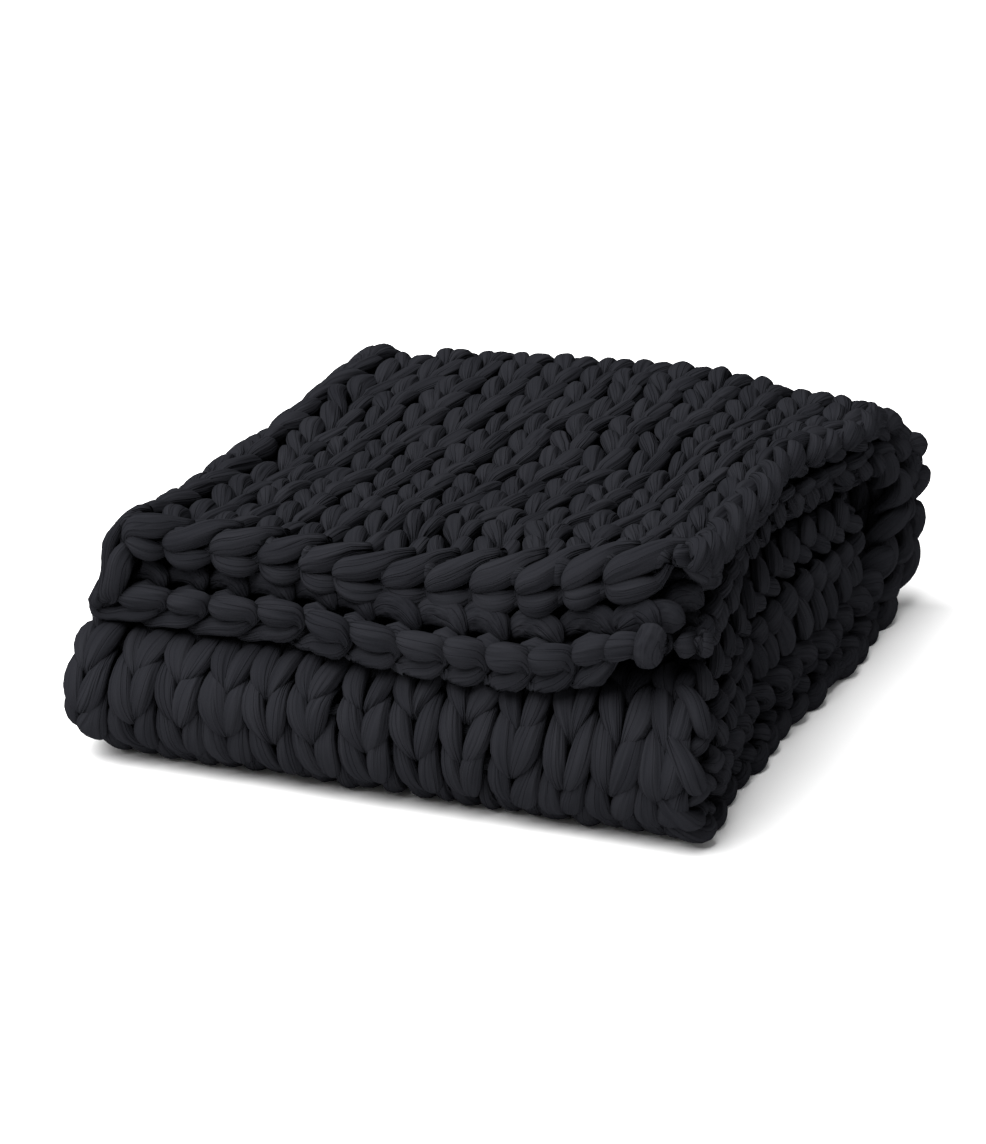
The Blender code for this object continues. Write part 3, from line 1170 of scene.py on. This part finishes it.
    @staticmethod
    def mark(mesh: bpy.types.Mesh, name: str, kind: str, key: str, values: np.ndarray) -> None:
        """Stores a value at each vertex for the finish to read.

        Args:
            mesh: The mesh.
            name: Name of the attribute.
            kind: Its data type.
            key: Its field.
            values: One value or vector a vertex.
        """
        attribute = mesh.attributes.new(name, kind, "POINT")
        attribute.data.foreach_set(key, values.astype(np.float32).ravel())

    def add(self, name: str, mesh: bpy.types.Mesh) -> bpy.types.Object:
        """Puts a mesh in the scene as a piece of the blanket.

        Args:
            name: Name of the piece.
            mesh: Its mesh, in place.

        Returns:
            The piece.
        """
        mesh.materials.append(self.finish)
        piece = bpy.data.objects.new(name, mesh)
        bpy.context.scene.collection.objects.link(piece)
        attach(piece, "root")
        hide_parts("blanket")
        triangles = sum(len(face.vertices) - 2 for face in mesh.polygons)
        log.info("%s: %d triangles", name, triangles)
        self.pieces.append(piece)
        return piece

    def rows(self, stretch: Stretch) -> bpy.types.Object:
        """Builds the yarn of several rows as one piece.

        Args:
            stretch: Which rows.

        Returns:
            The piece.
        """
        shape, detail = self.shape, stretch.fineness.value
        first, last = shape.end, shape.seam
        if stretch.inner:
            first, last = shape.seam - shape.overlap, self.stack.gauge.wales - shape.end
        steps = round((last - first) * detail.steps)
        strands = [self.row(course, first, last, steps) for course in stretch.courses]
        return self.lay(stretch.name, strands, detail.sides)

    def chains(self) -> None:
        """Builds the chain of loops along each free edge."""
        gauge, detail = self.stack.gauge, Fineness.CHAIN.value
        steps = gauge.wales * detail.steps
        near, far = self.chain_inset, gauge.courses - self.chain_inset
        self.lay("front_edge_chain", [self.chain(near, -1.0, steps)], detail.sides)
        self.lay("tucked_edge_chain", [self.chain(far, 1.0, steps)], detail.sides)

    def selvedges(self) -> None:
        """Builds the yarn that turns round and runs along the selvedges."""
        knot, cord = Fineness.KNOT.value, Fineness.CORD.value
        turns = [self.knot(shape, course, side, knot.steps)
                 for shape in SelvedgeKnot for side, first in FIRST_KNOTS
                 for course in range(first, self.stack.gauge.courses - 1)]
        self.lay("selvedge_turns", turns, knot.sides)
        cords = [self.edge_strand(each, cord.steps) for each in EdgeCord]
        self.lay("selvedge_strands", cords, cord.sides)

    def mouth(self) -> None:
        """Builds the purl bumps inside the mouth and the knob at its right end."""
        bump, knob = Fineness.BUMP.value, Fineness.KNOB.value
        bumps = [self.purl_bump(each, wale, bump.steps)
                 for each in PurlBump for wale in each.value.wales]
        self.lay("mouth_bumps", bumps, bump.sides)
        self.lay("chain_knob", [self.knob_strand(knob.steps)], knob.sides)

    def build(self) -> None:
        """Builds every piece of the panel."""
        for stretch in STRETCHES:
            self.rows(stretch)
        self.chains()
        self.selvedges()
        self.mouth()


class Graph:
    """Short ways to add and link the nodes of a material."""

    def __init__(self, material: bpy.types.Material) -> None:
        """Opens a material's nodes.

        Args:
            material: The material, with its shader.
        """
        material.use_nodes = True
        self.tree = material.node_tree
        self.shader = self.tree.nodes["Principled BSDF"]

    def add(self, kind: str, inputs: dict[str, object], **settings: object) -> bpy.types.Node:
        """Adds a node.

        Args:
            kind: Its type, without the ShaderNode in front.
            inputs: A value or another node's output for each named input.
            **settings: The node's own settings.

        Returns:
            The node.
        """
        node = self.tree.nodes.new("ShaderNode" + kind)
        for name, value in settings.items():
            setattr(node, name, value)
        for name, value in inputs.items():
            self.plug(node.inputs[name], value)
        return node

    def plug(self, socket: Socket, value: object) -> None:
        """Sets or links one input.

        Args:
            socket: The input.
            value: A plain value, or the output to link.
        """
        if isinstance(value, Socket):
            self.tree.links.new(value, socket)
        else:
            socket.default_value = value

    def math(self, operation: str, *values: object) -> Socket:
        """Works out a sum, a product or the like.

        Args:
            operation: What to do.
            *values: Plain values or outputs, in order.

        Returns:
            The result.
        """
        node = self.add("Math", {}, operation=operation)
        for socket, value in zip(node.inputs, values):
            self.plug(socket, value)
        return node.outputs["Value"]

    def mix(self, share: Socket, one: object, other: object) -> Socket:
        """Blends two colours.

        Args:
            share: How much of the second, from 0 to 1.
            one: The first.
            other: The second.

        Returns:
            The blend.
        """
        inputs = {"Factor": share, "A": one, "B": other}
        return self.add("Mix", inputs, data_type="RGBA").outputs["Result"]

    def spread(self, value: Socket, low: float, high: float,
               to_low: float, to_high: float) -> Socket:
        """Maps a range of values smoothly onto another.

        Args:
            value: The values.
            low: Where the range starts.
            high: Where it ends.
            to_low: What it becomes at the start.
            to_high: What it becomes at the end.

        Returns:
            The mapped values.
        """
        node = self.add("MapRange", {
            "Value": value, "From Min": low, "From Max": high,
            "To Min": to_low, "To Max": to_high}, interpolation_type="SMOOTHSTEP")
        return node.outputs["Result"]

    def total(self, parts: list[tuple[Socket, object]]) -> Socket:
        """Adds up weighted values.

        Args:
            parts: Each value with its weight.

        Returns:
            Their sum.
        """
        first, *rest = [self.math("MULTIPLY", value, weight) for value, weight in parts]
        for value in rest:
            first = self.math("ADD", first, value)
        return first

    def noise(self, place: Socket, stretch: Triple,
              detail: float = 1.0) -> Socket:
        """Noise on a stretched place.

        Args:
            place: Where to read it.
            stretch: Scale along each axis.
            detail: How many finer layers it has.

        Returns:
            The noise, from 0 to 1.
        """
        node = self.add("Mapping", {"Vector": place, "Scale": stretch})
        return self.add("TexNoise", {
            "Vector": node.outputs["Vector"], "Scale": 1.0, "Detail": detail}).outputs["Fac"]


@dataclass(frozen=True)
class JerseyFinish:
    """Matte charcoal jersey, stuffed until it creases along its length."""

    colour: Triple = (0.0098, 0.0101, 0.0122)
    # Paler colour, for random tone and for painted highlight on the raised folds and ribs.
    pale_tone_and_highlight: Triple = (0.0146, 0.0149, 0.0176)
    # Painted shade at the bottom of the strong creases.
    shaded: Triple = (0.0022, 0.0022, 0.0028)
    gloss: float = 0.0
    bump: float = 0.0045
    # Pinch from and to, and how strongly creases show there.
    tips: tuple[float, float, float, float] = (0.08, 0.75, 0.20, 0.80)
    # Scale of each pattern: along and round the yarn, or in metres on the object.
    strong_scale: Triple = (1.1, 1.25, 1.25)
    faint_scale: Triple = (2.2, 2.3, 2.3)
    fold_scale: Triple = (4.0, 1.2, 1.2)
    rib_scale: Triple = (5.0, 5.0, 5.0)
    grain_scale: Triple = (700.0, 700.0, 700.0)
    cloud_scale: Triple = (16.0, 16.0, 16.0)
    cloud_detail: float = 3.0
    strong_width: float = 0.030
    faint_width: float = 0.10
    # Heights, as shares of the bump's distance.
    strong_height: float = 0.60
    faint_height: float = 0.16
    fold_height: float = 1.2
    rib_height: float = 0.60
    grain_height: float = 0.035
    # Shares of the paler colour: random tone from the clouds and each ring's tone (which carries
    # painted shade on the mouth's bumps), and painted highlight on the raised folds and ribs.
    cloud_wear: float = 0.25
    tone_and_mouth_shade: float = 0.14
    fold_highlight: float = 0.40
    rib_highlight: float = 0.33
    highlight_range: Span = (0.34, 0.66)
    crease_shade: float = 0.5
    rough_clouds: Span = (0.3, 0.7)
    rough: Span = (0.84, 0.95)

    def lines(self, graph: Graph, yarn: Socket,
              stretch: Triple, width: float) -> Socket:
        """Thin creases that run along the yarn.

        Args:
            graph: The material's nodes.
            yarn: Place along and round the yarn.
            stretch: How tightly they are packed.
            width: How wide they are.

        Returns:
            1 on plain cloth, 0 at the bottom of a crease.
        """
        level = graph.math("SUBTRACT", graph.noise(yarn, stretch), 0.5)
        return graph.spread(graph.math("ABSOLUTE", level), 0.0, width, 0.0, 1.0)

    def material(self) -> bpy.types.Material:
        """Builds the finish as shader nodes."""
        made = bpy.data.materials.new("charcoal_jersey")
        graph = Graph(made)
        yarn = graph.add("Attribute", {}, attribute_name="yarn").outputs["Vector"]
        tone = graph.add("Attribute", {}, attribute_name="tone").outputs["Fac"]
        pinch = graph.add("Attribute", {}, attribute_name="pinch").outputs["Fac"]
        place = graph.add("TexCoord", {}).outputs["Object"]
        tips = graph.spread(pinch, *self.tips)
        strong = self.lines(graph, yarn, self.strong_scale, self.strong_width)
        faint = self.lines(graph, yarn, self.faint_scale, self.faint_width)
        folds = graph.noise(yarn, self.fold_scale)
        ribs = graph.noise(yarn, self.rib_scale)
        grain = graph.noise(place, self.grain_scale)
        cloud = graph.noise(place, self.cloud_scale, self.cloud_detail)
        height = graph.total([
            (graph.math("MULTIPLY", strong, tips), self.strong_height),
            (graph.math("MULTIPLY", faint, tips), self.faint_height),
            (folds, self.fold_height),
            (graph.math("MULTIPLY", ribs, tips), self.rib_height),
            (grain, self.grain_height)])
        bump = graph.add("Bump", {"Height": height, "Distance": self.bump, "Strength": 1.0})
        # Random tone, and painted highlight where the bump's folds and ribs stand highest.
        pale_tone_and_highlight = graph.total([
            (cloud, self.cloud_wear), (tone, self.tone_and_mouth_shade),
            (graph.spread(folds, *self.highlight_range, 0.0, 1.0), self.fold_highlight),
            (graph.spread(ribs, *self.highlight_range, 0.0, 1.0), self.rib_highlight)])
        base = graph.mix(pale_tone_and_highlight, (*self.colour, 1.0), (*self.pale_tone_and_highlight, 1.0))
        # Painted shade darkens the bottoms of the strong creases where the yarn is pinched.
        crease = graph.spread(strong, 0.0, 1.0, self.crease_shade, 0.0)
        final = graph.mix(graph.math("MULTIPLY", crease, tips), base, (*self.shaded, 1.0))
        inputs = {
            "Base Color": final, "Roughness": graph.spread(cloud, *self.rough_clouds, *self.rough),
            "Normal": bump.outputs["Normal"], "Specular IOR Level": self.gloss}
        for name, value in inputs.items():
            graph.plug(graph.shader.inputs[name], value)
        return made


@dataclass(frozen=True)
class Studio:
    """Plain pale floor, soft light and the camera."""

    azimuth: float = 21.97
    elevation: float = 20.47
    distance: float = 4.64
    focal_pixels: float = 5207.0
    image_height: int = 1144
    aim_right: float = -0.0274
    aim_up: float = 0.0026
    centre: Triple = (0.0062, -0.0015, 0.105)
    sky: float = 0.36
    sun: float = 7.5
    sun_azimuth: float = -42.0
    sun_elevation: float = 62.0
    sun_size: float = 66.0
    sun_distance: float = 3.0
    sensor_width: float = 36.0
    floor_half: float = 6.0
    floor_colour: tuple[float, float, float, float] = (0.88, 0.88, 0.88, 1.0)
    floor_roughness: float = 0.9

    def towards(self, azimuth: float, elevation: float) -> Vector:
        """Direction from the blanket towards a camera or a light.

        Args:
            azimuth: Degrees to the right of straight in front.
            elevation: Degrees above the floor.

        Returns:
            The unit direction.
        """
        turn, rise = math.radians(azimuth), math.radians(elevation)
        return Vector((math.sin(turn) * math.cos(rise), -math.cos(turn) * math.cos(rise),
                       math.sin(rise)))

    def camera(self) -> None:
        """Places the camera."""
        back = self.towards(self.azimuth, self.elevation)
        right = (-back).cross(Vector((0, 0, 1))).normalized()
        up = right.cross(-back)
        eye = Vector(self.centre) + back * self.distance
        aim = Vector(self.centre) + right * self.aim_right + up * self.aim_up
        data = bpy.data.cameras.new("camera")
        data.sensor_width = self.sensor_width
        data.lens = self.focal_pixels * data.sensor_width / self.image_height
        camera = bpy.data.objects.new("camera", data)
        camera.location = eye
        camera.rotation_euler = (aim - eye).to_track_quat("-Z", "Y").to_euler()
        bpy.context.scene.collection.objects.link(camera)
        bpy.context.scene.camera = camera

    def lights(self) -> None:
        """Adds the even light all round and the broad soft light from the front left."""
        world = bpy.data.worlds.new("studio")
        world.use_nodes = True
        background = world.node_tree.nodes["Background"]
        background.inputs["Color"].default_value = (1, 1, 1, 1)
        background.inputs["Strength"].default_value = self.sky
        bpy.context.scene.world = world
        data = bpy.data.lights.new("key", "SUN")
        data.energy = self.sun
        data.angle = math.radians(self.sun_size)
        lamp = bpy.data.objects.new("key", data)
        back = self.towards(self.sun_azimuth, self.sun_elevation)
        lamp.rotation_euler = (-back).to_track_quat("-Z", "Y").to_euler()
        lamp.location = Vector(self.centre) + back * self.sun_distance
        bpy.context.scene.collection.objects.link(lamp)

    def floor(self) -> None:
        """Lays the floor."""
        mesh = bpy.data.meshes.new("floor")
        bm = bmesh.new()
        bmesh.ops.create_grid(bm, x_segments=1, y_segments=1, size=self.floor_half)
        bm.to_mesh(mesh)
        bm.free()
        paper = bpy.data.materials.new("paper")
        graph = Graph(paper)
        graph.plug(graph.shader.inputs["Base Color"], self.floor_colour)
        graph.plug(graph.shader.inputs["Roughness"], self.floor_roughness)
        mesh.materials.append(paper)
        floor = bpy.data.objects.new("floor", mesh)
        bpy.context.scene.collection.objects.link(floor)

    def build(self) -> None:
        """Builds the floor, the lights and the camera."""
        bpy.context.scene.view_settings.view_transform = "Standard"
        self.floor()
        self.lights()
        self.camera()


def main() -> None:
    """Builds the blanket and the studio."""
    logging.basicConfig(level=logging.INFO, format="%(name)s: %(message)s")
    finish = JerseyFinish().material()
    panel = KnitPanel(FoldedStack(), Stitch(), finish)
    panel.build()
    log.info("%d pieces", len(panel.pieces))
    Studio().build()


if __name__ == "__main__":
    main()
